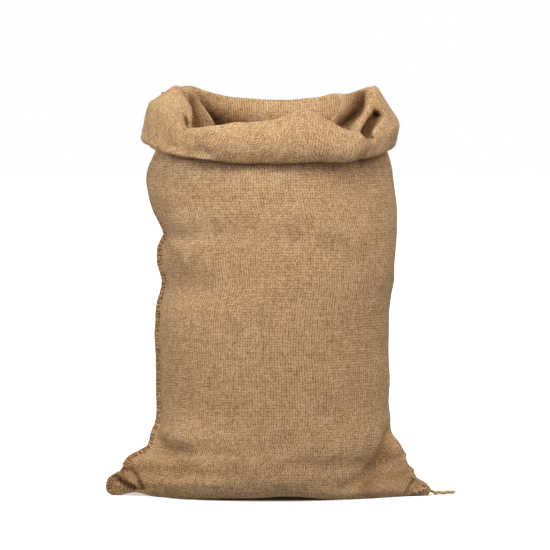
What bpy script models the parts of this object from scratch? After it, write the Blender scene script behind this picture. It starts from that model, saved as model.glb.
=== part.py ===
"""An empty hessian sack that stands open, with its mouth turned down outward once as a cuff.

The sack is one cut of cloth, folded at its right side and overlocked down its left side and along
its bottom. Its two bottom corners stand out as ears. A short tail of the overlock thread lies on
the floor at the right ear. +X is the sack's right as seen from the front, -Y its front, +Z up.
"""

import math

import bpy
import numpy as np

# ---- driving dimensions, in metres ----
CLOTH_ROUND = 1.000  # once round the sack: two panels, each 0.50 wide
WALL = 0.002  # thickness of the cloth
NECK = 0.500  # height where the wall starts to draw in towards the mouth
FOLD_RADIUS = (0.007, 0.005)  # of the turned-over mouth, at the front and at the back
SEAM_WIDTH = 0.008  # how far the overlocked edge stands out of the left side
SEAM_HALF = 0.0023  # half the thickness of that edge
SEAM_END = (0.535, 0.565)  # heights between which the edge dies away under the cuff
SEAM_BACK = (0.395, 0.425)  # heights between which it turns to lie back, towards the cuff
SEAM_LYING = 0.4  # share of its width that still stands out there
EAR_HALF = 0.0050  # half the thickness of the two layers at an ear
EAR_SQUARE = 60  # how squarely that thickness ends at the tip; 2 would be a round nose
EAR_TOP = 0.100  # height where the ears have become part of the round body
EAR_FORWARD = -0.056  # y of both ear tips
EAR_PINCH = 1.5  # how sharply the sections draw in to an ear; the round body has 0.5
BASE_INSET = 0.012  # how far the bottom seam ends inside each ear

# ---- how finely the cloth is divided ----
COLUMNS_PER_PANEL = 36
BODY_ROWS = (
    0.000, 0.005, 0.012, 0.021, 0.032, 0.045, 0.059, 0.074, 0.091, 0.112, 0.140, 0.180,
    0.230, 0.280, 0.320, 0.355, 0.382, 0.403, 0.424, 0.450, NECK - 0.020, NECK,
)  # fmt: skip
BASE_ROWS = 3
NECK_ROWS = 4
TURN_ROWS = 4
CUFF_ROWS = 4

# ---- the thread tail ----
TAIL_RADIUS = 0.0019
TAIL_ROUTE = [  # (x, y, z) along the middle of the thread, from just off the right ear's tip
    (0.2485, -0.0560, 0.0060),
    (0.2550, -0.0530, 0.0045),
    (0.2600, -0.0490, 0.0032),
    (0.2655, -0.0455, 0.0024),
    (0.2710, -0.0420, 0.0020),
    (0.2765, -0.0375, 0.0020),
    (0.2830, -0.0330, 0.0020),
    (0.2890, -0.0300, 0.0020),
]

# ---- the body, from the floor to the neck ----
OUTLINE = np.array([  # height, left side, right side
    (0.000, -0.236, 0.243),
    (0.008, -0.240, 0.249),
    (0.016, -0.240, 0.247),
    (0.024, -0.237, 0.238),
    (0.032, -0.229, 0.230),
    (0.042, -0.217, 0.223),
    (0.052, -0.208, 0.218),
    (0.062, -0.200, 0.213),
    (0.072, -0.189, 0.209),
    (0.082, -0.180, 0.203),
    (0.093, -0.175, 0.194),
    (0.110, -0.172, 0.190),
    (0.135, -0.167, 0.190),
    (0.180, -0.167, 0.190),
    (0.240, -0.169, 0.187),
    (0.285, -0.167, 0.190),
    (0.333, -0.157, 0.196),
    (0.360, -0.165, 0.198),
    (0.382, -0.165, 0.199),
    (0.403, -0.158, 0.200),
    (0.420, -0.169, 0.200),
    (0.440, -0.180, 0.200),
    (0.480, -0.189, 0.197),
    (0.510, -0.184, 0.193),
    (0.540, -0.178, 0.188),
])
DEPTH = np.array([  # height, front, back
    (0.000, -0.118, 0.116),
    (0.006, -0.125, 0.123),
    (0.018, -0.131, 0.129),
    (0.045, -0.136, 0.134),
    (0.110, -0.138, 0.137),
    (0.200, -0.136, 0.136),
    (0.300, -0.131, 0.132),
    (0.400, -0.124, 0.124),
    (0.460, -0.117, 0.115),
    (0.510, -0.109, 0.104),
    (0.540, -0.105, 0.099),
])

# ---- the mouth: closed loops, u being the share of the cloth's round, from the left seam ----
RIM = np.array([  # u, x, y, z of the fold, the highest line of the cloth
    (0.000, -0.142, 0.008, 0.631),
    (0.030, -0.130, -0.015, 0.615),
    (0.056, -0.120, -0.035, 0.600),
    (0.087, -0.117, -0.060, 0.580),
    (0.111, -0.120, -0.080, 0.567),
    (0.131, -0.104, -0.092, 0.566),
    (0.157, -0.080, -0.100, 0.573),
    (0.205, -0.028, -0.108, 0.576),
    (0.259, 0.023, -0.110, 0.583),
    (0.291, 0.054, -0.110, 0.594),
    (0.323, 0.084, -0.108, 0.582),
    (0.371, 0.125, -0.090, 0.562),
    (0.415, 0.136, -0.050, 0.580),
    (0.470, 0.152, 0.000, 0.613),
    (0.500, 0.162, 0.018, 0.629),
    (0.533, 0.166, 0.048, 0.629),
    (0.566, 0.155, 0.080, 0.628),
    (0.598, 0.131, 0.071, 0.620),
    (0.636, 0.104, 0.080, 0.617),
    (0.695, 0.051, 0.101, 0.611),
    (0.752, -0.005, 0.106, 0.610),
    (0.802, -0.053, 0.101, 0.614),
    (0.856, -0.100, 0.080, 0.623),
    (0.888, -0.123, 0.070, 0.630),
    (0.918, -0.148, 0.064, 0.627),
    (0.966, -0.124, 0.031, 0.629),
])
KNEE = np.array([  # u, x, y, z where the cuff turns from its top to its side
    (0.000, -0.186, -0.005, 0.606),
    (0.040, -0.184, -0.040, 0.592),
    (0.080, -0.168, -0.075, 0.573),
    (0.115, -0.145, -0.100, 0.556),
    (0.150, -0.110, -0.116, 0.551),
    (0.205, -0.045, -0.124, 0.553),
    (0.260, 0.018, -0.126, 0.557),
    (0.300, 0.058, -0.126, 0.560),
    (0.345, 0.100, -0.120, 0.553),
    (0.390, 0.150, -0.096, 0.548),
    (0.430, 0.183, -0.060, 0.560),
    (0.470, 0.198, -0.020, 0.570),
    (0.500, 0.202, 0.013, 0.573),
    (0.535, 0.194, 0.052, 0.582),
    (0.570, 0.172, 0.088, 0.588),
    (0.605, 0.142, 0.106, 0.590),
    (0.660, 0.096, 0.117, 0.582),
    (0.750, -0.005, 0.124, 0.575),
    (0.840, -0.100, 0.111, 0.588),
    (0.900, -0.154, 0.086, 0.598),
    (0.950, -0.180, 0.048, 0.603),
])
HEM = np.array([  # u, x, y, z of the cloth's cut edge, the foot of the cuff
    (0.000, -0.195, -0.005, 0.548),
    (0.040, -0.190, -0.040, 0.545),
    (0.080, -0.174, -0.075, 0.536),
    (0.115, -0.149, -0.102, 0.528),
    (0.150, -0.117, -0.119, 0.522),
    (0.205, -0.060, -0.130, 0.516),
    (0.260, 0.008, -0.133, 0.516),
    (0.320, 0.072, -0.132, 0.517),
    (0.371, 0.125, -0.119, 0.517),
    (0.420, 0.170, -0.083, 0.525),
    (0.460, 0.190, -0.045, 0.533),
    (0.500, 0.196, 0.005, 0.540),
    (0.560, 0.188, 0.062, 0.545),
    (0.620, 0.146, 0.100, 0.540),
    (0.700, 0.070, 0.120, 0.533),
    (0.750, 0.000, 0.125, 0.530),
    (0.850, -0.108, 0.112, 0.536),
    (0.920, -0.168, 0.074, 0.545),
])

# ---- folds ----
TUCKS = [  # u, half width in u, height, half height above, half height below, shift in x, shift in y
    (0.956, 0.022, 0.570, 0.040, 0.075, 0.050, -0.004),  # inward pleat behind the left side
    (0.608, 0.020, 0.580, 0.035, 0.070, -0.026, -0.012),  # ridge beside the right corner's fold
    (0.410, 0.030, 0.548, 0.020, 0.040, -0.006, 0.006),  # makes room for the cuff's pocket
]
CREASES = [  # side, x0, z0, x1, z1, half width, depth at 0, depth at 1 (a ridge is below 0)
    ("front", -0.168, 0.404, -0.125, 0.335, 0.016, 0.016, 0.006),  # from the notch in the left side
    ("front", 0.196, 0.086, 0.100, 0.020, 0.013, 0.012, 0.006),  # behind the right ear
    ("front", -0.168, 0.082, -0.125, 0.040, 0.016, 0.007, 0.003),  # behind the left ear
    ("front", -0.219, 0.040, -0.203, 0.016, 0.004, 0.006, 0.006),  # pleat on the left ear
    ("front", -0.178, 0.500, -0.100, 0.462, 0.018, 0.005, 0.003),  # under the cuff, left
    ("front", 0.110, 0.515, 0.165, 0.440, 0.020, 0.005, 0.003),  # under the cuff, right
    ("front", 0.055, 0.400, 0.120, 0.370, 0.022, 0.003, 0.003),  # middle right
    ("back", -0.150, 0.470, -0.080, 0.330, 0.022, 0.008, 0.003),  # under the left pleat
    ("back", 0.160, 0.480, 0.090, 0.350, 0.022, 0.006, 0.003),  # under the right fold
    ("back", -0.190, 0.080, -0.120, 0.030, 0.014, 0.008, 0.004),  # behind the left ear
    ("back", 0.196, 0.086, 0.120, 0.030, 0.014, 0.009, 0.004),  # behind the right ear
]
POCKET = [  # in the cuff, one row for each end: x, z, half width, push in x, y and z
    (0.165, 0.586, 0.008, -0.010, 0.010, -0.008),
    (0.147, 0.550, 0.012, -0.013, 0.012, -0.004),
]
POCKET_SPAN = (0.36, 0.39, 0.47, 0.50)  # shares u where it starts, is full, is full, and ends


def smooth(low, high, x):
    """0 below low, 1 above high, and an even S between."""
    t = np.clip((x - low) / (high - low), 0.0, 1.0)
    return t * t * (3.0 - 2.0 * t)


def spline(keys, values, x):
    """A curve through values at keys whose slope at each key is that of the points beside it."""
    slopes = np.gradient(values, keys, axis=0)
    k = np.clip(np.searchsorted(keys, x, side="right") - 1, 0, len(keys) - 2)
    step = keys[k + 1] - keys[k]
    t = (x - keys[k]) / step
    if values.ndim > 1:
        t = t[..., None]
        step = step[..., None]
    return (
        (1 + 2 * t) * (1 - t) ** 2 * values[k]
        + t * (1 - t) ** 2 * step * slopes[k]
        + t * t * (3 - 2 * t) * values[k + 1]
        + t * t * (t - 1) * step * slopes[k + 1]
    )


def loop(table, u):
    """Points of a closed loop whose rows are (u, x, y, z)."""
    keys = np.concatenate([table[:, 0] - 1, table[:, 0], table[:, 0] + 1])
    return spline(keys, np.tile(table[:, 1:], (3, 1)), np.mod(u, 1.0))


def hermite(start, end, start_slope, end_slope, t):
    """A cubic from start to end, with its slope at each."""
    t = t[:, None, None]
    return (
        (1 + 2 * t) * (1 - t) ** 2 * start
        + t * (1 - t) ** 2 * start_slope
        + t * t * (3 - 2 * t) * end
        + t * t * (t - 1) * end_slope
    )


def half_section(z, side, shares):
    """One panel's level section at height z, at these shares of its length from left to right."""
    left, right = spline(OUTLINE[:, 0], OUTLINE[:, 1:], np.array(z))
    front, back = spline(DEPTH[:, 0], DEPTH[:, 1:], np.array(z))
    ear = 1 - smooth(0.02, EAR_TOP, z)
    pinch = 0.5 + (EAR_PINCH - 0.5) * ear
    power = 2.0 + 0.5 * ear
    angle = np.linspace(0, math.pi, 721)
    across = -np.cos(angle)
    middle = 0.5 * (left + right)
    x = middle + 0.5 * (right - left) * across
    swell = (1 - np.abs(across) ** power) ** pinch
    thin = EAR_HALF * ear * np.sqrt(1 - np.abs(across) ** EAR_SQUARE)
    reach = (front - thin) if side == "front" else (back + thin)
    tips = EAR_FORWARD * (1 - smooth(0.02, 0.150, z)) * across**2
    y = tips + (reach - np.sign(reach) * thin) * swell + np.sign(reach) * thin
    length = np.concatenate([[0], np.cumsum(np.hypot(np.diff(x), np.diff(y)))])
    at = shares * length[-1]
    return np.interp(at, length, x), np.interp(at, length, y)


def section(z, u):
    """The level section of the body at height z, for each share u of the cloth's round."""
    front = u <= 0.5
    x = np.empty_like(u)
    y = np.empty_like(u)
    x[front], y[front] = half_section(z, "front", 2 * u[front])
    x[~front], y[~front] = half_section(z, "back", 2 * (1 - u[~front]))
    return np.stack([x, y, np.full_like(u, z)], axis=1)


def push_folds(points, u):
    """Moves the rows of the wall in and out for its tucks and creases."""
    x, z = points[..., 0].copy(), points[..., 2]
    for centre, half, height, above, below, shift_x, shift_y in TUCKS:
        tall = np.where(z > height, above, below)
        share = np.exp(-(((u - centre) / half) ** 2)) * np.exp(-(((z - height) / tall) ** 2))
        points[..., 0] += shift_x * share
        points[..., 1] += shift_y * share
    along = np.roll(points, -1, axis=1) - np.roll(points, 1, axis=1)
    outward = np.stack([along[..., 1], -along[..., 0]], axis=-1)
    outward /= np.linalg.norm(outward, axis=-1, keepdims=True) + 1e-9
    for side, x0, z0, x1, z1, half, depth0, depth1 in CREASES:
        on_side = (u <= 0.5) if side == "front" else (u > 0.5)
        run = (x1 - x0) ** 2 + (z1 - z0) ** 2
        t = np.clip(((x - x0) * (x1 - x0) + (z - z0) * (z1 - z0)) / run, 0, 1)
        away = np.hypot(x - x0 - t * (x1 - x0), z - z0 - t * (z1 - z0))
        from_side = np.minimum(np.minimum(u, 1 - u), np.abs(u - 0.5)) * CLOTH_ROUND
        edge = smooth(0.002, 0.016, from_side)
        depth = (depth0 + (depth1 - depth0) * t) * np.exp(-((away / half) ** 2)) * edge
        points[..., :2] -= outward * (depth * on_side)[..., None]
    return points


def cloth_rows(u, heights, base_rows, neck_rows, turn_rows, cuff_rows):
    """The cloth's outward side as rows of points, from the bottom seam to the cuff's edge."""
    foot = section(heights[0], u)
    seam = section(heights[0], np.where(u <= 0.5, u, 1 - u))
    other = section(heights[0], np.where(u <= 0.5, 1 - u, u))
    seam[:, 1] = 0.5 * (seam[:, 1] + other[:, 1])
    left, right = OUTLINE[0, 1:]
    seam[:, 0] = np.interp(seam[:, 0], [left, right], [left + BASE_INSET, right - BASE_INSET])
    shares = np.linspace(0, 0.75, base_rows, endpoint=False)[:, None, None]
    base = seam + (foot - seam) * shares
    body = np.stack([section(z, u) for z in heights])

    rim = loop(RIM, u)
    knee = loop(KNEE, u)
    hem = loop(HEM, u)
    aim = knee - rim
    aim[:, 2] = 0
    aim /= np.linalg.norm(aim, axis=1, keepdims=True)
    up = np.array([0, 0, 1.0])
    radius = FOLD_RADIUS[0] + (FOLD_RADIUS[1] - FOLD_RADIUS[0]) * smooth(0.49, 0.53, u)[:, None]
    radius += (FOLD_RADIUS[0] - FOLD_RADIUS[1]) * smooth(0.97, 1.00, u)[:, None]
    inner = rim - (aim + up) * radius
    neck_share = np.linspace(0, 1, neck_rows + 1)[1:]
    rise = (inner - body[-1])[:, 2:3]
    lean = (body[-1] - section(NECK - 0.02, u)) / 0.02
    neck = hermite(body[-1], inner, lean * rise, up * rise * 1.2, neck_share)
    wall = push_folds(np.concatenate([body, neck]), u)

    fall = np.arctan2((rim - knee)[:, 2], np.linalg.norm((knee - rim)[:, :2], axis=1))
    last = math.pi / 2 - fall
    shares = np.linspace(0, 1, turn_rows + 1)[1:, None]
    angle = (math.pi + (last - math.pi) * shares)[..., None]
    turn = rim + radius * (aim * np.cos(angle) + up * (np.sin(angle) - 1))
    outer = turn[-1]
    to_knee = np.linalg.norm(knee - outer, axis=1, keepdims=True)
    to_hem = np.linalg.norm(hem - knee, axis=1, keepdims=True)
    leave = (aim * np.cos(fall)[:, None] - up * np.sin(fall)[:, None]) * to_knee
    through = (hem - outer) / (to_knee + to_hem)
    shares = np.linspace(0, 1, cuff_rows + 1)[1:]
    upper = hermite(outer, knee, leave, through * to_knee, shares)
    lower = hermite(knee, hem, through * to_hem, hem - knee, shares)
    cuff = press_pocket(np.concatenate([upper, lower]), u)
    return np.concatenate([base, wall, turn, cuff])


def press_pocket(cuff, u):
    """Presses the pocket into the cuff at the right front corner."""
    (x0, z0, half0, *push0), (x1, z1, half1, *push1) = POCKET
    x, z = cuff[..., 0], cuff[..., 2]
    run = (x1 - x0) ** 2 + (z1 - z0) ** 2
    t = np.clip(((x - x0) * (x1 - x0) + (z - z0) * (z1 - z0)) / run, 0, 1)
    away = np.hypot(x - x0 - t * (x1 - x0), z - z0 - t * (z1 - z0))
    share = np.exp(-((away / (half0 + (half1 - half0) * t)) ** 3))
    start, full, full_end, end = POCKET_SPAN
    share *= smooth(start, full, u) * (1 - smooth(full_end, end, u))
    push = np.array(push0) + (np.array(push1) - np.array(push0)) * t[..., None]
    return cuff + push * share[..., None]


def grid_normals(points):
    """The outward normal at each point of the rows."""
    along = np.roll(points, -1, axis=1) - np.roll(points, 1, axis=1)
    rising = np.gradient(points, axis=0)
    normals = np.cross(along, rising)
    normals /= np.linalg.norm(normals, axis=-1, keepdims=True) + 1e-12
    normals[0] = (0, 0, -1)
    return normals


def add_seam_edge(points, normals, u):
    """Stands the overlocked edge out of the left side."""
    from_seam = np.minimum(u, 1 - u) * CLOTH_ROUND
    share = 1 - smooth(SEAM_HALF, 2 * SEAM_HALF, from_seam)
    fade = 1 - smooth(*SEAM_END, points[:, :1, 2])
    fade[np.argmax(points[:, 0, 2]) :] = 0
    fade[0] = 0
    back = smooth(*SEAM_BACK, points[:, :1, 2:3])
    aim = normals[:, :1] * (1 - back) + np.array([-0.8, 0.6, 0]) * back
    aim /= np.linalg.norm(aim, axis=-1, keepdims=True)
    aim *= 1 - (1 - SEAM_LYING) * back
    points = points + aim * (SEAM_WIDTH * share * fade)[..., None]
    points[..., 2] = np.maximum(points[..., 2], 0)
    return points


def round_shares():
    """Where the columns stand round the cloth: closest at the left seam and the right fold."""
    even = np.linspace(0, 1, COLUMNS_PER_PANEL + 1)
    panel = 0.5 * (even - 0.72 / (2 * math.pi) * np.sin(2 * math.pi * even))
    panel = np.insert(panel, 1, [SEAM_HALF / CLOTH_ROUND])
    panel[2] = 2 * SEAM_HALF / CLOTH_ROUND
    return np.concatenate([panel[:-1], 1 - panel[:0:-1]])


def shell_mesh(name, outer, inner):
    """A closed sheet from its two sides; the first row of each is folded shut along its middle."""
    rows, columns = outer.shape[:2]
    half = columns // 2
    vertices = []
    index = np.empty((2, rows, columns), int)
    for s, side in enumerate((outer, inner)):
        for j in range(rows):
            for i in range(columns):
                if j == 0 and i > half:
                    index[s, j, i] = index[s, j, columns - i]
                    continue
                index[s, j, i] = len(vertices)
                vertices.append(tuple(side[j, i]))
    faces = []
    for j in range(rows - 1):
        for i in range(columns):
            k = (i + 1) % columns
            corners = [(j, i), (j, k), (j + 1, k), (j + 1, i)]
            spans = [np.linalg.norm(outer[corners[c]] - outer[corners[c + 2]]) for c in (0, 1)]
            if spans[1] < spans[0]:
                corners = corners[1:] + corners[:1]
            for three in (corners[:3], [corners[0], *corners[2:]]):
                faces.append([index[0][q] for q in three])
                faces.append([index[1][q] for q in reversed(three)])
    for i in range(columns):
        k = (i + 1) % columns
        a, b, c, d = index[0, -1, i], index[0, -1, k], index[1, -1, k], index[1, -1, i]
        faces += [(a, b, c), (a, c, d)]
    faces = [[int(v) for v in face] for face in faces if len(set(face)) == 3]
    mesh = bpy.data.meshes.new(name)
    mesh.from_pydata(vertices, [], faces)
    mesh.validate()
    mesh.shade_smooth()
    return mesh


def hessian_material(name, colour):
    material = bpy.data.materials.new(name)
    material.use_nodes = True
    shader = material.node_tree.nodes["Principled BSDF"]
    shader.inputs["Base Color"].default_value = (*colour, 1)
    shader.inputs["Roughness"].default_value = 0.92
    shader.inputs["Metallic"].default_value = 0.0
    return material


def make_sack():
    u = round_shares()
    rows = cloth_rows(u, BODY_ROWS, BASE_ROWS, NECK_ROWS, TURN_ROWS, CUFF_ROWS)
    normals = grid_normals(rows)
    inner = rows - normals * WALL
    outer = add_seam_edge(rows, normals, u)
    sack = bpy.data.objects.new("sack", shell_mesh("sack", outer, inner))
    bpy.context.scene.collection.objects.link(sack)
    sack.data.materials.append(hessian_material("hessian", (0.42, 0.28, 0.15)))
    return sack


def make_thread_tail():
    curve = bpy.data.curves.new("thread_tail", "CURVE")
    curve.dimensions = "3D"
    curve.bevel_depth = TAIL_RADIUS
    curve.bevel_resolution = 2
    curve.use_fill_caps = True
    path = curve.splines.new("POLY")
    path.points.add(len(TAIL_ROUTE) - 1)
    for point, place in zip(path.points, TAIL_ROUTE):
        point.co = (*place, 1)
    tail = bpy.data.objects.new("thread_tail", curve)
    bpy.context.scene.collection.objects.link(tail)
    curve.materials.append(hessian_material("jute thread", (0.40, 0.25, 0.12)))
    return tail


def main():
    for old in list(bpy.data.objects):
        bpy.data.objects.remove(old)
    make_sack()
    make_thread_tail()


main()
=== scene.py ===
"""The looks of a hessian sack that stands open, its mouth turned down outward once as a cuff.

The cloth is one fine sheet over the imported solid's form, woven in its material. On it lie
the threads of its seams, stray fibres, and the free end of the thread.
+X is the sack's right as seen from the front, -Y its front, +Z up.
"""

import math

import bpy
import numpy as np
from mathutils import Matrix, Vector


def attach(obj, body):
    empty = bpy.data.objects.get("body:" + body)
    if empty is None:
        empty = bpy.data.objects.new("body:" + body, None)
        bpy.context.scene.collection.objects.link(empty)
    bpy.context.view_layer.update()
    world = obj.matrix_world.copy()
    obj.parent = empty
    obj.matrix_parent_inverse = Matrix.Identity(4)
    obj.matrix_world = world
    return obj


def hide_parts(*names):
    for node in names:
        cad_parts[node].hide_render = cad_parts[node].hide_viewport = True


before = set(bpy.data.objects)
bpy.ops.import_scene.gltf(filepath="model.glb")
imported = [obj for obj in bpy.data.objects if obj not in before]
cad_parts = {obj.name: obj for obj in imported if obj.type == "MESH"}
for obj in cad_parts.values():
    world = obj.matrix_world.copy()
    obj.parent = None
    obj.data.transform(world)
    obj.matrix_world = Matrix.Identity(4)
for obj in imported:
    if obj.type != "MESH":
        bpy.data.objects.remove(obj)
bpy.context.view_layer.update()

# ---- driving dimensions, in metres ----
CLOTH_ROUND = 1.000  # once round the sack: two panels, each 0.50 wide
WALL = 0.002  # thickness of the cloth
NECK = 0.500  # height where the wall starts to draw in towards the mouth
NECK_STEP = 0.020  # how far below it the wall's lean is taken
NECK_UPRIGHT = 1.2  # how upright the wall comes up to the mouth
FOLD_RADIUS = (0.007, 0.005)  # of the turned-over mouth, at the front and at the back
FOLD_BACK = (0.49, 0.53, 0.97, 1.0)  # shares u between which the back's begins and ends
FLARE = 0.35  # how far the back wall leans out where it turns over, in radians
FLARE_BACK = (0.62, 0.7, 0.82, 0.88)  # and those between which that begins and ends
HEM_TUCK = 0.010  # how far the foot of the cuff curls back in towards the body
HEM_DROP = 0.0025  # how far that lets it hang lower
HEM_AIM = 0.6  # how steeply, as a share of its fall
HEM_RADIUS = 0.0055  # of the rolled-in edge at the foot of the cuff
HEM_TURN = 1.1 * math.pi  # the angle at which that edge ends
HEM_STEP = 0.004  # share u either way by which its direction is found
SEAM_WIDTH = 0.008  # how far the overlocked edge stands out of the left side
SEAM_HALF = 0.0023  # half the thickness of that edge
SEAM_END = (0.535, 0.565)  # heights between which the edge dies away under the cuff
SEAM_BACK = (0.395, 0.425)  # heights between which it turns to lie back, towards the cuff
SEAM_BACKWARD = (-0.8, 0.6, 0.0)  # the way it points there
SEAM_LYING = 0.4  # share of its width that still stands out there
SEAM_FOOT = (0.35, 0.01)  # share of its width at the floor, and the height where it has all of it
SEAM_STRAIGHT = 0.007  # how far from the seam the cloth's inside lies straight behind it
EAR_HALF = 0.0050  # half the thickness of the two layers at an ear
EAR_SQUARE = 60  # how squarely it ends at the tip; 2 would be a round nose
EAR_WHOLE = 0.02  # height up to which the ears keep their whole shape
EAR_TOP = 0.100  # height where the ears have become part of the round body
EAR_FORWARD = -0.056  # y of both ear tips
EAR_LEAN_TOP = 0.150  # height where the sides have left it
EAR_PINCH = 1.5  # how sharply the sections draw in to an ear; the round body has 0.5
BASE_INSET = 0.012  # how far the bottom seam ends inside each ear
BASE_REACH = 0.75  # how far the base's rows go from the bottom seam to the body's foot
AIM_STEPS = (-0.01, -0.005, 0.0, 0.005, 0.01)  # shares u over which its direction is evened
OVER_FLOOR = 0.0001  # how far the threads stay off the floor

# ---- how finely the cloth is divided ----
COLUMNS_PER_PANEL = 164
SEAM_COLUMNS = (0.0012, 0.0023, 0.003, 0.0038, 0.0046, 0.0058)  # from the seam
SEAM_COLUMN_GAP = 0.0008  # least distance to the next
SECTION_POINTS = 1441  # of a level section, before it is divided
BODY_ROWS = (
    0.0, 0.005, 0.012, 0.021, 0.032, 0.045, 0.059, 0.074, 0.091, 0.112, 0.14, 0.18,
    0.23, 0.28, 0.32, 0.355, 0.382, 0.403, 0.424, 0.45, NECK - NECK_STEP, NECK,
)  # fmt: skip
ROWS_PER_STEP = (4, 3)  # in the body's lower steps, and in those from LOW_STEPS up
LOW_STEPS = 9
BASE_ROWS = 6
NECK_ROWS = 14
TURN_ROWS = 8
CUFF_ROWS = 18
HEM_ROWS = 8

# ---- the body, from the floor to the neck ----
OUTLINE = np.array([  # height, left side, right side
    (0.0, -0.2375, 0.2475),
    (0.008, -0.242, 0.2525),
    (0.015, -0.242, 0.248),
    (0.022, -0.24, 0.2385),
    (0.028, -0.2315, 0.231),
    (0.034, -0.2215, 0.2275),
    (0.041, -0.2175, 0.2235),
    (0.047, -0.2165, 0.2178),
    (0.053, -0.213, 0.2155),
    (0.059, -0.206, 0.214),
    (0.064, -0.1925, 0.2125),
    (0.069, -0.183, 0.2105),
    (0.078, -0.178, 0.204),
    (0.093, -0.1745, 0.193),
    (0.105, -0.169, 0.19),
    (0.115, -0.1668, 0.19),
    (0.135, -0.166, 0.19),
    (0.18, -0.167, 0.19),
    (0.24, -0.169, 0.187),
    (0.285, -0.167, 0.19),
    (0.333, -0.157, 0.196),
    (0.36, -0.165, 0.198),
    (0.382, -0.165, 0.199),
    (0.403, -0.157, 0.2),
    (0.42, -0.167, 0.2),
    (0.44, -0.177, 0.2),
    (0.48, -0.187, 0.197),
    (0.51, -0.182, 0.193),
    (0.54, -0.178, 0.188),
])
DEPTH = np.array([  # height, front, back
    (0.0, -0.118, 0.116),
    (0.006, -0.125, 0.123),
    (0.018, -0.131, 0.129),
    (0.045, -0.136, 0.134),
    (0.11, -0.138, 0.137),
    (0.2, -0.136, 0.136),
    (0.3, -0.131, 0.132),
    (0.4, -0.124, 0.124),
    (0.46, -0.119, 0.115),
    (0.51, -0.115, 0.101),
    (0.54, -0.11, 0.09),
])

# ---- the mouth: closed loops, u being the share of the cloth's round, from the left seam ----
RIM = np.array([  # u, x, y, z of the fold, the highest line of the cloth
    (0.0, -0.142, 0.008, 0.631),
    (0.03, -0.134, -0.015, 0.615),
    (0.056, -0.1255, -0.035, 0.6),
    (0.087, -0.1225, -0.06, 0.58),
    (0.111, -0.12, -0.08, 0.567),
    (0.131, -0.104, -0.092, 0.566),
    (0.157, -0.08, -0.1, 0.5705),
    (0.205, -0.028, -0.108, 0.574),
    (0.259, 0.023, -0.11, 0.583),
    (0.291, 0.054, -0.11, 0.594),
    (0.323, 0.083, -0.108, 0.582),
    (0.371, 0.127, -0.092, 0.562),
    (0.415, 0.146, -0.05, 0.58),
    (0.47, 0.159, 0.0, 0.613),
    (0.5, 0.164, 0.018, 0.629),
    (0.533, 0.166, 0.048, 0.629),
    (0.566, 0.155, 0.08, 0.628),
    (0.598, 0.131, 0.071, 0.62),
    (0.636, 0.104, 0.08, 0.617),
    (0.695, 0.051, 0.101, 0.6098),
    (0.752, -0.005, 0.106, 0.6088),
    (0.802, -0.053, 0.101, 0.613),
    (0.856, -0.1, 0.08, 0.623),
    (0.888, -0.123, 0.07, 0.63),
    (0.918, -0.148, 0.064, 0.627),
    (0.966, -0.124, 0.031, 0.629),
    (0.984, -0.133, 0.0195, 0.6245),
])
KNEE = np.array([  # u, x, y, z where the cuff turns from its top to its side
    (0.0, -0.182, -0.005, 0.606),
    (0.035, -0.1775, -0.038, 0.6),
    (0.065, -0.162, -0.066, 0.591),
    (0.09, -0.143, -0.083, 0.58),
    (0.113, -0.126, -0.098, 0.563),
    (0.135, -0.109, -0.109, 0.5545),
    (0.16, -0.09, -0.117, 0.556),
    (0.205, -0.045, -0.124, 0.553),
    (0.26, 0.018, -0.126, 0.557),
    (0.3, 0.058, -0.126, 0.56),
    (0.345, 0.1, -0.12, 0.553),
    (0.39, 0.15, -0.096, 0.548),
    (0.43, 0.183, -0.06, 0.56),
    (0.47, 0.198, -0.02, 0.57),
    (0.5, 0.202, 0.013, 0.573),
    (0.535, 0.194, 0.052, 0.582),
    (0.57, 0.172, 0.088, 0.588),
    (0.605, 0.142, 0.106, 0.59),
    (0.66, 0.096, 0.117, 0.582),
    (0.75, -0.005, 0.124, 0.575),
    (0.84, -0.1, 0.111, 0.588),
    (0.9, -0.154, 0.086, 0.598),
    (0.95, -0.18, 0.048, 0.603),
])
HEM = np.array([  # u, x, y, z of the cloth's cut edge, the foot of the cuff
    (0.0, -0.195, -0.005, 0.548),
    (0.04, -0.19, -0.04, 0.545),
    (0.08, -0.174, -0.075, 0.536),
    (0.115, -0.149, -0.102, 0.528),
    (0.15, -0.117, -0.119, 0.522),
    (0.205, -0.06, -0.13, 0.516),
    (0.26, 0.008, -0.133, 0.516),
    (0.32, 0.072, -0.132, 0.517),
    (0.371, 0.125, -0.119, 0.517),
    (0.42, 0.17, -0.083, 0.525),
    (0.46, 0.19, -0.045, 0.533),
    (0.5, 0.196, 0.005, 0.54),
    (0.56, 0.188, 0.062, 0.545),
    (0.62, 0.146, 0.1, 0.54),
    (0.7, 0.07, 0.12, 0.533),
    (0.75, 0.0, 0.125, 0.53),
    (0.85, -0.108, 0.112, 0.536),
    (0.92, -0.168, 0.074, 0.545),
])

TIGHT = [  # u, half width in u, and how much smaller the fold is at the mouth's tight corners
    (0.108, 0.022, 0.45),
    (0.57, 0.018, 0.4),
    (0.916, 0.02, 0.4),
]

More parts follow.
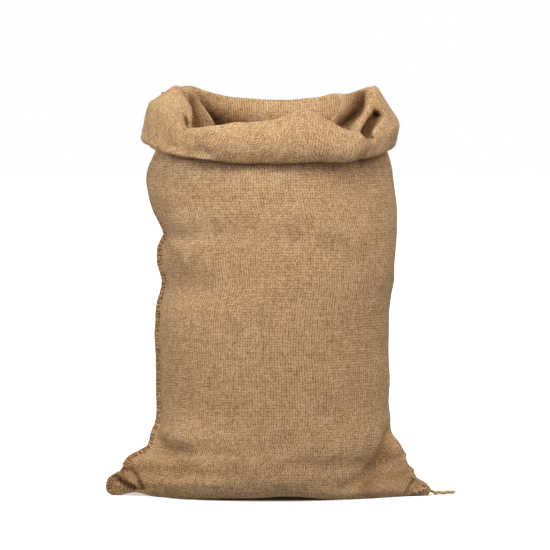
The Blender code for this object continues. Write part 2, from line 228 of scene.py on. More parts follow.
# ---- folds, and the light and shade painted on the cloth ----
TUCKS = [  # u, half width in u, sharpness, height, half height above, below, shift in x, shift in y
    (0.962, 0.017, 1.3, 0.56, 0.038, 0.055, 0.058, 0.008),  # inward pleat behind the left side
    (0.868, 0.038, 2.0, 0.572, 0.026, 0.04, -0.004, 0.033),  # hollow behind that pleat
    (0.604, 0.014, 1.3, 0.565, 0.026, 0.045, -0.036, -0.024),  # ridge beside the right fold
    (0.567, 0.016, 2.0, 0.592, 0.018, 0.02, 0.001, 0.01),  # hollow behind that ridge
    (0.75, 0.12, 4.0, 0.586, 0.02, 0.05, 0.0, -0.013),  # the back leans out above this
    (0.425, 0.035, 2.0, 0.56, 0.028, 0.045, -0.016, 0.022),  # makes room for the cuff's pocket
    (0.24, 0.11, 4.0, 0.52, 0.03, 0.04, 0.0, 0.006),  # room for the rolled hem in front
]
SIDE_FADE = (0.002, 0.016)  # distances from the sack's sides between which a crease begins
EAR_FADE = (-0.004, 0.004)  # and those on the ears
CREASES = [  # side, x0, z0, x1, z1, half width, depth at 0 and at 1, below 0 for a ridge;
    # "both" pushes the two layers of an ear back together
    ("front", -0.168, 0.392, -0.122, 0.32, 0.017, 0.006, 0.003),  # from the notch in the left side
    ("front", -0.16, 0.404, -0.12, 0.346, 0.006, -0.004, -0.002),  # light edge of that fold
    ("front", 0.194, 0.092, 0.164, 0.042, 0.011, 0.012, 0.007),  # behind the right ear
    ("front", 0.16, 0.042, 0.112, 0.01, 0.011, 0.006, 0.004),  # and on towards the base
    ("front", -0.168, 0.082, -0.125, 0.04, 0.016, 0.007, 0.003),  # behind the left ear
    ("both", -0.212, 0.038, -0.195, 0.01, 0.0048, 0.007, 0.01),  # upper pleat on the left ear
    ("both", -0.2232, 0.0315, -0.2015, 0.0095, 0.003, -0.005, -0.005),  # ridge beside it
    ("both", -0.23, 0.0225, -0.2065, 0.0075, 0.004, 0.01, 0.009),  # lower pleat on the left ear
    ("both", 0.225, 0.0225, 0.215, 0.005, 0.0026, 0.004, 0.005),  # root of the right ear's flap
    ("both", 0.242, 0.023, 0.229, 0.003, 0.004, -0.003, -0.003),  # fullness of that flap
    ("both", 0.224, 0.04, 0.209, 0.033, 0.004, 0.004, 0.002),  # waves down the right edge
    ("both", 0.213, 0.062, 0.199, 0.055, 0.0045, 0.004, 0.002),
    ("front", -0.178, 0.5, -0.1, 0.462, 0.018, 0.003, 0.003),  # under the cuff, left
    ("front", 0.11, 0.515, 0.165, 0.44, 0.02, 0.005, 0.003),  # under the cuff, right
    ("front", 0.055, 0.4, 0.12, 0.37, 0.022, 0.003, 0.003),  # middle right
    ("back", -0.15, 0.47, -0.08, 0.33, 0.022, 0.008, 0.003),  # under the left pleat
    ("back", 0.16, 0.48, 0.09, 0.35, 0.022, 0.006, 0.003),  # under the right fold
    ("back", -0.19, 0.08, -0.12, 0.03, 0.014, 0.008, 0.004),  # behind the left ear
    ("back", 0.196, 0.086, 0.12, 0.03, 0.014, 0.009, 0.004),  # behind the right ear
]
SHADE_AND_LIGHT_PAINT = [  # painted shade and light along lines on the cloth: start, end, half width, how much darker (painted shade), or lighter if below 0 (painted light)
    ((0.163, -0.008, 0.586), (0.16, -0.036, 0.56), 0.016, 0.48),  # the cuff's pocket
    ((-0.125, -0.055, 0.577), (-0.122, -0.076, 0.565), 0.006, 0.25),  # hook-shaped dent
    ((-0.165, -0.06, 0.57), (-0.122, -0.1, 0.545), 0.016, 0.16),  # below the left corner's edge
    ((-0.098, -0.1, 0.568), (-0.045, -0.112, 0.568), 0.009, -0.14),  # bright facet of the rim
    ((0.193, -0.058, 0.088), (0.15, -0.104, 0.022), 0.014, 0.32),  # valley behind the right ear
    ((-0.17, -0.056, 0.09), (-0.125, -0.1, 0.05), 0.018, 0.12),  # and the left ear
    ((-0.2, -0.06, 0.018), (-0.24, -0.056, 0.012), 0.02, 0.2),  # left ear's tip
    ((-0.229, -0.056, 0.022), (-0.204, -0.06, 0.006), 0.004, 0.3),  # and its lower pleat
    ((-0.213, -0.055, 0.055), (-0.221, -0.056, 0.04), 0.006, 0.24),  # its seam, seen edge on
    ((-0.205, -0.062, 0.03), (-0.14, -0.09, 0.022), 0.032, 0.16),  # the whole left ear
    ((0.205, -0.056, 0.045), (0.235, -0.056, 0.01), 0.022, 0.12),  # right ear's tip
    ((0.165, -0.092, 0.022), (0.22, -0.062, 0.03), 0.028, 0.1),  # the whole right ear
    ((-0.178, -0.055, 0.52), (-0.1, -0.112, 0.506), 0.022, -0.35),  # light under the cuff
    ((-0.11, -0.118, 0.503), (0.12, -0.123, 0.503), 0.012, -0.45),
    ((-0.158, -0.055, 0.422), (-0.1, -0.11, 0.414), 0.022, -0.24),  # fold above the notch
    ((-0.13, -0.125, 0.006), (0.13, -0.125, 0.006), 0.018, -0.14),  # and along the foot
]
MOUTH_SHADE_PAINT = [  # painted shade, as above, on the mouth's inside alone
    ((-0.092, 0.085, 0.576), (-0.05, 0.086, 0.566), 0.026, 0.75),  # hollow behind the left pleat
    ((-0.06, 0.105, 0.55), (0.11, 0.105, 0.55), 0.032, 0.3),  # foot of the back wall
    ((-0.112, 0.03, 0.565), (-0.1, 0.03, 0.555), 0.022, 0.35),  # foot of the pleat's own wall
    ((-0.12, 0.023, 0.612), (-0.11, 0.028, 0.57), 0.008, 0.6),  # slit between it and the rim
    ((0.151, 0.08, 0.606), (0.138, 0.068, 0.594), 0.006, 0.5),  # hollow beside the right ridge
    ((0.138, 0.066, 0.59), (0.114, 0.049, 0.572), 0.009, 0.9),
    ((0.145, -0.018, 0.6), (0.122, -0.034, 0.562), 0.018, 0.82),  # right rim
]
LIFTS = [  # arches over the floor: x, half width, height, y up to which one is whole, y of its end
    (-0.2035, 0.019, 0.0055, 0.2, 0.3),  # under the left ear
    (0.223, 0.008, 0.0015, 0.2, 0.3),  # under the right ear
    (0.03, 0.048, 0.0052, -0.112, -0.05),  # under the front
    (-0.06, 0.045, 0.0022, -0.112, -0.05),
]
LIFT_TOP = 0.045  # height where the arches have died away

PRESSES = [  # on the cuff: start, end, half widths, sharpness, and the push at each end
    ((0.1675, -0.024, 0.587), (0.15, -0.078, 0.553), (0.0095, 0.013), 5,
     (-0.004, 0.022, -0.004), (-0.008, 0.04, -0.006)),  # pocket at the right front corner
    ((0.184, -0.036, 0.585), (0.169, -0.078, 0.558), (0.0055, 0.007), 2,
     (-0.003, -0.004, 0.003), (-0.008, -0.006, 0.003)),  # lobe beside it
    ((-0.128, -0.052, 0.587), (-0.125, -0.065, 0.579), (0.0034, 0.0046), 3,
     (-0.001, 0.004, -0.007), (-0.002, 0.008, -0.011)),  # upper limb of the hook-shaped dent
    ((-0.125, -0.065, 0.579), (-0.1225, -0.08, 0.569), (0.0046, 0.004), 3,
     (0, 0.004, -0.005), (0, 0.003, -0.005)),  # and its lower limb
    ((-0.121, -0.098, 0.56), (-0.104, -0.109, 0.5545), (0.005, 0.005), 2,
     (0, -0.002, 0.002), (0, -0.005, 0.002)),  # crest below the rim's lowest place, in two runs
    ((-0.104, -0.109, 0.5545), (-0.08, -0.117, 0.56), (0.005, 0.005), 2,
     (0, -0.003, 0.002), (0, -0.003, 0.002)),
    ((-0.148, -0.092, 0.538), (-0.092, -0.12, 0.531), (0.009, 0.009), 2,
     (0.002, 0.003, 0), (0, 0.006, 0)),  # and the hollow under it
]  # fmt: skip
CORNERS = [  # shares u between which the cuff's knee becomes a sharp corner and ends, and how sharp
    (-0.1, -0.06, 0.15, 0.2, 0.75),
    (0.4, 0.44, 0.5, 0.55, 0.5),
]

# ---- the cloth's slight waves ----
WAVES = 70
WAVES_TO_METRE = (4, 26)
WAVE_SPREAD = 0.0007  # their standard deviation
WAVE_START = (0.004, 0.03)  # heights between which they begin

# ---- stitches and loose fibres ----
STITCH_PITCH = 0.0055
STITCH_RADIUS = 0.00072
STITCH_FIN = (0.006, 0.45)  # heights between which the overlock runs up the left side
STITCH_POINTS = 14  # along each loop
STITCH_FOOT = 0.0046  # the seam column where the loops go through
CHAIN_RADIUS = 0.0012
CHAIN = [  # x, z of the chain stitch across the right ear's flap
    (0.2225, 0.0045), (0.2262, 0.008), (0.229, 0.0055), (0.2326, 0.01),
    (0.2356, 0.0072), (0.2392, 0.0122), (0.242, 0.0098), (0.2452, 0.0128),
]  # fmt: skip
KNOT_RADIUS = 0.0014
KNOT_THREAD = 0.0007  # radius of its thread
FIBRES = 700
FIBRE_LENGTH = (0.003, 0.008)
FIBRE_RADIUS = 0.00011
FIBRE_FLOOR = 0.0005  # how far fibres stay off the floor

# ---- the weave, the colours of the jute, and the shade painted into hollows ----
YARN_PITCH = 0.00205  # both ways
YARNS_BEFORE = 2000.0  # keeps the yarns' numbers above 0
WEAVE_LEVEL = 0.35  # height from which the weft yarns are counted
WARP = (False, (0.0, 9.0, 1.7), (0.06, 0.2))  # if turned, places in the noise, how far yarns pair up
WEFT = (True, (4.0, 12.0, 8.3), (0.2, 0.06))
WARP_GAP_SHADE = (0.75, 0.08)  # range of the painted shade's brightness between its yarns, and the least
WEFT_GAP_SHADE = (0.66, 0.34)
SHADE_PAINT_REACH = 0.045  # reach of the ambient occlusion that paints shade into the hollows
LIGHT_YARN = (0.8, 0.525, 0.285, 1)
DARK_YARN = (0.34, 0.185, 0.078, 1)
RED_YARN = (0.54, 0.27, 0.115, 1)
SPECK = (0.08, 0.045, 0.02, 1)

# ---- stage, light and view ----
STAGE_REACH = 24.0
GLOW_RANGE = (0.3, 1.2)  # distances between which the floor's own glow grows
# colour of the painted shadow on the floor
SHADOW = (0.12, 0.1, 0.08, 1)
SHADOW_REACH = 0.07  # how far from the sack the painted shadow on the floor reaches
NO_SHADOW = (-0.17, -0.13)  # x between which it sets in, past the left ear
LENS = 231.4  # mm, on a sensor 36 mm wide
EYE = (0.0109, -5.5, 0.61)
LOOK_DOWN = 2.831  # degrees
SKY = (0.3, 0.48)  # brightness of the surroundings, below and above
LAMPS = [  # name, place, height of its aim, size, watts
    ("top", (0.05, -0.95, 1.7), 0.55, 1.0, 16.5),
    ("left", (-1.45, -0.75, 1.15), 0.5, 0.6, 11.0),
    ("right", (1.25, -1.2, 1.25), 0.5, 1.0, 9.5),
    ("back", (0.6, 1.8, 1.1), 0.35, 1.0, 9.0),
]

# ---- the thread tail, as in the solids ----
TAIL_RADIUS = 0.0019
TAIL_STRAND = 0.00120  # radius of each of its three strands
TAIL_LAY = 0.00135  # how far from the middle they lie
TAIL_LIFT = 0.0004  # how far they lie above the middle
TAIL_TWISTS = 5
TAIL_WAVE = 0.0008  # how far it snakes up and down
TAIL_WAVES = 3
WISPS = 9  # at its frayed end
WISP_RADIUS = 0.0003
TAIL_ROUTE = np.array([  # x, y, z along the thread's middle, from the right ear's tip
    (0.2485, -0.056, 0.006),
    (0.255, -0.053, 0.0045),
    (0.26, -0.049, 0.0032),
    (0.2655, -0.0455, 0.0024),
    (0.271, -0.042, 0.002),
    (0.2765, -0.0375, 0.002),
    (0.283, -0.033, 0.002),
    (0.289, -0.03, 0.002),
])


# ======== the form of the cloth ========
def smooth(low, high, x):
    """0 below low, 1 above high, and an even S between."""
    t = np.clip((x - low) / (high - low), 0.0, 1.0)
    return t * t * (3.0 - 2.0 * t)


def plateau(rise, full, fall, end, x):
    """1 from full to fall, and 0 before rise and after end."""
    return smooth(rise, full, x) * (1 - smooth(fall, end, x))


def steps(count):
    """The shares reached by so many even steps."""
    return np.linspace(0, 1, count + 1)[1:]


def unit(vectors):
    """The same vectors, each 1 long."""
    return vectors / (np.linalg.norm(vectors, axis=-1, keepdims=True) + 1e-12)


def beside(points, start, end):
    """How far each point lies along a line, as a share of it, and how far away from it."""
    start, run = np.array(start), np.subtract(end, start)
    t = np.clip((points - start) @ run / (run @ run), 0, 1)
    return t, np.linalg.norm(points - start - t[..., None] * run, axis=-1)


def cubic(start, end, start_slope, end_slope, t):
    """A cubic from start to end, with its slope at each."""
    return (
        (1 + 2 * t) * (1 - t) ** 2 * start
        + t * (1 - t) ** 2 * start_slope
        + t * t * (3 - 2 * t) * end
        + t * t * (t - 1) * end_slope
    )


def spline(keys, values, x):
    """A curve through values at keys whose slope at each key is that of the points beside it."""
    slopes = np.gradient(values, keys, axis=0)
    k = np.clip(np.searchsorted(keys, x, side="right") - 1, 0, len(keys) - 2)
    step = keys[k + 1] - keys[k]
    t = (x - keys[k]) / step
    if values.ndim > 1:
        t, step = t[..., None], step[..., None]
    return cubic(values[k], values[k + 1], step * slopes[k], step * slopes[k + 1], t)


def loop(table, u):
    """Points of a closed loop whose rows are (u, x, y, z)."""
    keys = np.concatenate([table[:, 0] - 1, table[:, 0], table[:, 0] + 1])
    return spline(keys, np.tile(table[:, 1:], (3, 1)), np.mod(u, 1.0))


def half_section(z, side, shares):
    """One panel's level section at height z, at these shares of its length from left to right."""
    left, right = spline(OUTLINE[:, 0], OUTLINE[:, 1:], np.array(z))
    front, back = spline(DEPTH[:, 0], DEPTH[:, 1:], np.array(z))
    ear = 1 - smooth(EAR_WHOLE, EAR_TOP, z)
    pinch = 0.5 + (EAR_PINCH - 0.5) * ear
    power = 2.0 + 0.5 * ear
    across = -np.cos(np.linspace(0, math.pi, SECTION_POINTS))
    x = 0.5 * (left + right) + 0.5 * (right - left) * across
    swell = (1 - np.abs(across) ** power) ** pinch
    thin = EAR_HALF * ear * np.sqrt(1 - np.abs(across) ** EAR_SQUARE)
    tips = EAR_FORWARD * (1 - smooth(EAR_WHOLE, EAR_LEAN_TOP, z)) * across**2
    y = tips + (front * swell - thin if side == "front" else back * swell + thin)
    length = np.concatenate([[0], np.cumsum(np.hypot(np.diff(x), np.diff(y)))])
    at = shares * length[-1]
    return np.interp(at, length, x), np.interp(at, length, y)


def section(z, u):
    """The level section of the body at height z, for each share u of the cloth's round."""
    points = np.full((len(u), 3), z)
    for side, there, shares in (("front", u <= 0.5, 2 * u), ("back", u > 0.5, 2 * (1 - u))):
        points[there, 0], points[there, 1] = half_section(z, side, shares[there])
    return points


def round_runs(points):
    """The run past each point of the rows, from the one before to the one after."""
    return np.roll(points, -1, axis=1) - np.roll(points, 1, axis=1)


def push_folds(points, u, weight):
    """Moves the rows of the wall in and out for its tucks and creases."""
    flat = points[..., [0, 2]]
    z = points[..., 2]
    for centre, half, sharpness, height, above, below, shift_x, shift_y in TUCKS:
        tall = np.where(z > height, above, below)
        away = np.abs((u - centre) / half) ** sharpness + ((z - height) / tall) ** 2
        share = weight * np.exp(-away)
        points[..., 0] += shift_x * share
        points[..., 1] += shift_y * share
    runs = round_runs(points)
    outward = unit(np.stack([runs[..., 1], -runs[..., 0]], axis=-1))
    from_side = np.minimum(np.minimum(u, 1 - u), np.abs(u - 0.5)) * CLOTH_ROUND
    for side, x0, z0, x1, z1, half, depth0, depth1 in CREASES:
        on_side = {"front": u <= 0.5, "back": u > 0.5, "both": np.where(u <= 0.5, 1.0, -1.0)}[side]
        fade = smooth(*(EAR_FADE if side == "both" else SIDE_FADE), from_side) * weight
        t, away = beside(flat, (x0, z0), (x1, z1))
        depth = (depth0 + (depth1 - depth0) * t) * np.exp(-((away / half) ** 2)) * fade
        points[..., :2] -= outward * (depth * on_side)[..., None]
    return points


def press_cuff(cuff, weight):
    """Presses the dents into the cuff, and its lobes out of it."""
    for start, end, halves, sharpness, push_start, push_end in PRESSES:
        t, away = beside(cuff, start, end)
        share = weight * np.exp(-((away / (halves[0] + (halves[1] - halves[0]) * t)) ** sharpness))
        t = t[..., None]
        cuff = cuff + share[..., None] * (np.array(push_start) * (1 - t) + np.array(push_end) * t)
    return cuff


def cloth_rows(u, heights):
    """The cloth's outward side as rows of points, from the bottom seam to the cuff's edge."""
    up = np.array([0, 0, 1.0])
    body = np.stack([section(z, u) for z in heights])
    seam = section(heights[0], np.minimum(u, 1 - u))
    other = section(heights[0], np.maximum(u, 1 - u))
    seam[:, 1] = 0.5 * (seam[:, 1] + other[:, 1])
    left, right = OUTLINE[0, 1:]
    seam[:, 0] = np.interp(seam[:, 0], [left, right], [left + BASE_INSET, right - BASE_INSET])
    shares = np.linspace(0, BASE_REACH, BASE_ROWS, endpoint=False)[:, None, None]
    base = seam + (body[0] - seam) * shares

    # the neck, and the turn over the mouth's fold
    rim, knee, hem = (loop(table, u) for table in (RIM, KNEE, HEM))
    aim = sum(loop(KNEE, u + step) - loop(RIM, u + step) for step in AIM_STEPS)
    aim[:, 2] = 0
    aim = unit(aim)
    radius = FOLD_RADIUS[0] + (FOLD_RADIUS[1] - FOLD_RADIUS[0]) * plateau(*FOLD_BACK, u)
    for centre, half, share in TIGHT:
        radius *= 1 - share * np.exp(-(((u - centre) / half) ** 2))
    radius = radius[:, None]
    flare = FLARE * plateau(*FLARE_BACK, u)[:, None]
    inner = rim + radius * (up * (np.sin(flare) - 1) - aim * np.cos(flare))
    rise = (inner - body[-1])[:, 2:3]
    lean = (body[-1] - section(NECK - NECK_STEP, u)) / NECK_STEP
    arrive = up * np.cos(flare) + aim * np.sin(flare)
    shares = steps(NECK_ROWS)[:, None, None]
    neck = cubic(body[-1], inner, lean * rise, arrive * rise * NECK_UPRIGHT, shares)
    fall = np.arctan2((rim - knee)[:, 2], np.linalg.norm((knee - rim)[:, :2], axis=1))
    begin, last = math.pi - flare[:, 0], math.pi / 2 - fall
    shares = steps(TURN_ROWS)[:, None]
    angle = (begin + (last - begin) * shares)[..., None]
    turn = rim + radius * (aim * np.cos(angle) + up * (np.sin(angle) - 1))
    weight = np.concatenate([np.ones(len(heights) + NECK_ROWS), 1 - shares[:, 0]])[:, None]
    wall = push_folds(np.concatenate([body, neck, turn]), u, weight)

    # the cuff, from the turn over the knee to the hem
    outer = turn[-1]
    to_knee = np.linalg.norm(knee - outer, axis=1, keepdims=True)
    to_hem = np.linalg.norm(hem - knee, axis=1, keepdims=True)
    leave = (aim * np.cos(fall)[:, None] - up * np.sin(fall)[:, None]) * to_knee
    through = (hem - outer) / (to_knee + to_hem)
    for *places, sharp in CORNERS:
        through = through * (1 - sharp * plateau(*places, u - (u > 0.7)))[:, None]
    shares = steps(CUFF_ROWS)[:, None, None]
    upper = cubic(outer, knee, leave, through * to_knee, shares)
    ahead = loop(HEM, u + HEM_STEP) - loop(HEM, u - HEM_STEP)
    out = unit(np.stack([ahead[:, 1], -ahead[:, 0], np.zeros_like(u)], axis=1))
    curl = out[:, 1:2] ** 2
    hem = hem + up * (HEM_RADIUS - HEM_DROP * curl) - out * HEM_TUCK * curl
    arrive = (hem - knee) - out * to_hem * HEM_AIM * curl
    lower = cubic(knee, hem, through * to_hem, arrive, shares)
    folded = len(wall) - TURN_ROWS // 2
    weight = np.concatenate([steps(TURN_ROWS // 2), np.ones(2 * CUFF_ROWS)])
    cuff = press_cuff(np.concatenate([wall[folded:], upper, lower]), weight[:, None])

    # the rolled-in edge, and the arches over the floor
    start = np.arctan2(-(arrive * out).sum(axis=1), -arrive[:, 2])
    angle = (start + (HEM_TURN - start) * steps(HEM_ROWS)[:, None])[..., None]
    centre = hem - HEM_RADIUS * (out * np.cos(start)[:, None] - up * np.sin(start)[:, None])
    roll = centre + HEM_RADIUS * (out * np.cos(angle) - up * np.sin(angle))
    rows = np.concatenate([base, wall[:folded], cuff, roll])
    for x, half, height, full, end in LIFTS:
        arch = height * np.exp(-(((rows[..., 0] - x) / half) ** 2))
        arch *= 1 - smooth(full, end, rows[..., 1])
        rows[..., 2] += arch * (1 - smooth(0.0, LIFT_TOP, rows[..., 2]))
    return rows


def painted_light_and_shade(points, rows):
    """The painted light and shade at each point, which lies in this row: below 1 where shade is
    painted into hollows, creases and the mouth, above 1 where light is painted.
    """
    bright = np.ones(len(points))
    top = BASE_ROWS + len(fine_heights()) + NECK_ROWS
    inside = 1 - smooth(top + 2, top + 5, rows)
    for table, seen in ((MOUTH_SHADE_PAINT, inside), (SHADE_AND_LIGHT_PAINT, 1.0)):
        for start, end, half, share in table:
            away = beside(points, start, end)[1]
            bright *= 1 - share * seen * np.exp(-((away / half) ** 2))
    return bright


def grid_normals(points):
    """The outward normal at each point of the rows."""
    normals = unit(np.cross(round_runs(points), np.gradient(points, axis=0)))
    normals[0] = (0, 0, -1)
    return normals


def add_seam_edge(points, normals, u):
    """Stands the overlocked edge out of the left side."""
    share = 1 - smooth(SEAM_HALF, 2 * SEAM_HALF, np.minimum(u, 1 - u) * CLOTH_ROUND)
    height = points[:, :1, 2]
    least, whole = SEAM_FOOT
    fade = (1 - smooth(*SEAM_END, height)) * (least + (1 - least) * smooth(0.0, whole, height))
    fade[np.argmax(points[:, 0, 2]) :] = 0
    fade[0] = 0
    back = smooth(*SEAM_BACK, height)[..., None]
    aim = unit(normals[:, :1] * (1 - back) + np.array(SEAM_BACKWARD) * back)
    aim *= 1 - (1 - SEAM_LYING) * back
    points = points + aim * (SEAM_WIDTH * share * fade)[..., None]
    points[..., 2] = np.maximum(points[..., 2], 0)
    return points


def round_shares():
    """Where the columns stand round the cloth: closest at the left seam and the right fold."""
    even = np.linspace(0, 1, COLUMNS_PER_PANEL + 1)
    panel = 0.5 * (even - 0.5 / (2 * math.pi) * np.sin(2 * math.pi * even))
    near = np.array(SEAM_COLUMNS) / CLOTH_ROUND
    panel = np.concatenate([[0], near, panel[panel > near[-1] + SEAM_COLUMN_GAP]])
    return np.concatenate([panel[:-1], 1 - panel[:0:-1]])


def fine_heights():
    """The body's row heights, several to each step of the solid's."""
    count = len(BODY_ROWS) - 1
    low = np.linspace(0, LOW_STEPS, LOW_STEPS * ROWS_PER_STEP[0], endpoint=False)
    high = np.linspace(LOW_STEPS, count, (count - LOW_STEPS) * ROWS_PER_STEP[1] + 1)
    return np.interp(np.concatenate([low, high]), np.arange(count + 1), BODY_ROWS)


def wave_cloth(points, normals, u, lengths):
    """Gives the cloth its slight unevenness: waves of 3 to 25 cm with chance phases."""
    rng = np.random.default_rng(11)
    total = np.zeros(points.shape[:2])
    for _ in range(WAVES):
        round_waves = rng.integers(-WAVES_TO_METRE[1], WAVES_TO_METRE[1] + 1)
        up_waves = rng.uniform(*WAVES_TO_METRE)
        size = 1.0 / (6 + math.hypot(round_waves, up_waves))
        phase = rng.uniform(0, 2 * math.pi)
        total += size * np.cos(2 * math.pi * (round_waves * u + up_waves * lengths) + phase)
    total *= WAVE_SPREAD / total.std() * smooth(*WAVE_START, points[..., 2])
    return points + normals * total[..., None]


def bell(half, reach):
    """The weights of a moving average over so many steps either way."""
    weights = np.exp(-((np.arange(-reach, reach + 1) / half) ** 2))
    return weights / weights.sum()


def weave_across(points, u):
    """Where each point lies across the weave: its share of the round, its stretches evened out."""
    lengths = np.linalg.norm(np.roll(points, -1, axis=1) - points, axis=-1)
    places = np.append(u, 1.0)
    extra = lengths - lengths.sum(axis=1, keepdims=True) * np.diff(places)
    extra = np.concatenate([np.zeros((len(points), 1)), np.cumsum(extra, axis=1)], axis=1)
    fine = np.linspace(-1, 2, 3001)
    across = np.empty_like(extra)
    for j, row in enumerate(extra):
        even = np.interp(np.mod(fine, 1.0), places, row)
        even = np.interp(places, fine, np.convolve(even, bell(50, 120), "same"))
        across[j] = places * CLOTH_ROUND + row - even
    padded = np.pad(across, ((4, 4), (0, 0)), "edge")
    return sum(w * padded[k : k + len(across)] for k, w in enumerate(bell(2, 4)))


def cells(rows, after=None):
    """The corners of each cell between rows and columns; after is the rows one column on."""
    after = np.roll(rows, -1, axis=1) if after is None else after
    return np.stack([rows[:-1], after[:-1], after[1:], rows[1:]], axis=2)


def shell_mesh(name, outer, inner, u, lengths):
    """A closed sheet from its two sides, with its weave's coordinates in metres."""
    sides = np.stack([outer, inner])
    half = outer.shape[1] // 2
    own = np.ones(sides.shape[:3], bool)
    own[:, 0, half + 1 :] = False  # in the bottom seam the back takes the front's points
    index = np.cumsum(own).reshape(own.shape) - 1
    index[:, 0, half + 1 :] = index[:, 0, half - 1 : 0 : -1]
    across = weave_across(outer, u)
    place = np.stack([across[:, :-1], lengths], axis=-1)
    after = np.stack([across[:, 1:], np.roll(lengths, -1, axis=1)], axis=-1)
    rim = np.array([[[0, 0]], [[0, WALL]]])
    weave = cells(place, after)
    weave = np.concatenate([weave, weave[..., ::-1, :], cells(place[-1] + rim, after[-1] + rim)])
    faces = np.concatenate([cells(index[0]), cells(index[1])[..., ::-1], cells(index[:, -1])])
    mesh = bpy.data.meshes.new(name)
    mesh.from_pydata(sides[own], [], faces.reshape(-1, 4))
    layer = mesh.uv_layers.new(name="weave")
    layer.data.foreach_set("uv", weave.astype(np.float32).reshape(-1))
    # the painted light and shade, kept on the points for the material
    bright = mesh.attributes.new("painted_light_and_shade", "FLOAT", "POINT")
    bright.data.foreach_set("value", painted_light_and_shade(sides[own], np.nonzero(own)[1]).astype(np.float32))
    mesh.shade_smooth()
    return mesh


def path_lengths(rows, level):
    """The distance along each column, from the row nearest to that height on the body."""
    lengths = np.cumsum(np.linalg.norm(np.diff(rows, axis=0), axis=-1), axis=0)
    lengths = np.concatenate([np.zeros((1, rows.shape[1])), lengths])
    return lengths - lengths[np.argmin(np.abs(rows[: len(rows) // 2, 0, 2] - level))]


# ======== materials ========
class Nodes:
    """The nodes of a material or of the world, with one short call for each kind."""

    def __init__(self, owner, shader="Principled BSDF"):
        self.owner = owner
        owner.use_nodes = True
        self.tree = owner.node_tree
        self.shader = self.tree.nodes[shader]

    def add(self, kind, inputs=(), **settings):
        node = self.tree.nodes.new("ShaderNode" + kind)
        for key, value in settings.items():
            setattr(node, key, value)
        for key, value in dict(inputs).items():
            self.put(node.inputs[key], value)
        return node

    def put(self, socket, value):
        if isinstance(value, bpy.types.NodeSocket):
            self.tree.links.new(value, socket)
        else:
            socket.default_value = value

    def calc(self, operation, *values):
        return self.add("Math", enumerate(values), operation=operation).outputs[0]

    def times(self, a, b):
        return self.calc("MULTIPLY", a, b)

    def line(self, value, slope, start):
        return self.calc("MULTIPLY_ADD", value, slope, start)

    def ramp(self, value, low, high, to_low=0.0, to_high=1.0, how="SMOOTHSTEP"):
        inputs = {"Value": value, "From Min": low, "From Max": high}
        inputs |= {"To Min": to_low, "To Max": to_high}
        return self.add("MapRange", inputs, interpolation_type=how).outputs[0]

    def vector(self, x, y, z=0.0):
        return self.add("CombineXYZ", enumerate((x, y, z))).outputs[0]

    def warm(self, value, green, blue):
        """A shade whose green and blue are these powers of the value."""
        return self.vector(value, self.calc("POWER", value, green), self.calc("POWER", value, blue))

    def noise(self, vector, scale=1.0, detail=1.0, roughness=0.5):
        inputs = {"Vector": vector, "Scale": scale, "Detail": detail, "Roughness": roughness}
        return self.add("TexNoise", inputs).outputs["Fac"]

    def chance(self, value):
        """A random number from 0 to 1 for each whole value."""
        return self.add("TexWhiteNoise", {"W": value}, noise_dimensions="1D").outputs["Value"]

    def mix(self, share, a, b):
        return self.add("Mix", {0: share, 2: a, 3: b}, data_type="FLOAT").outputs[0]

    def blend(self, share, a, b, how="MIX"):
        return self.add("Mix", {0: share, 6: a, 7: b}, data_type="RGBA", blend_type=how).outputs[2]


def yarn_set(s, across, along, patch, turned, seeds, pairing):
    """The yarns that run one way: their numbers, how round they are, and their tones."""

    def spot(a, b, seed):
        return s.vector(*((b, a) if turned else (a, b)), seed)

    wander = s.noise(spot(s.times(across, 6.0), s.times(along, 7.0), seeds[0]))
    count = s.line(wander, 3.0, s.line(across, 1 / YARN_PITCH, YARNS_BEFORE))
    number = s.calc("FLOOR", count)
    shift = s.noise(spot(s.times(count, 0.5), s.times(along, 40.0), seeds[1]))
    pair = s.line(s.calc("MODULO", number, 2.0), 2.0, -1.0)
    paired = s.times(pair, s.times(s.ramp(patch, 0.35, 0.65, *pairing), shift))
    off = s.calc("ADD", s.calc("SUBTRACT", s.calc("SUBTRACT", count, number), 0.5), paired)
    roundness = s.calc("MAXIMUM", s.calc("COSINE", s.times(off, math.pi)), 0.0)
    slub = s.noise(spot(s.times(number, 7.31), s.times(along, 90.0), seeds[2]), 1.0, 2.0, 0.6)
    return number, roundness, s.line(s.chance(number), 0.12, slub)


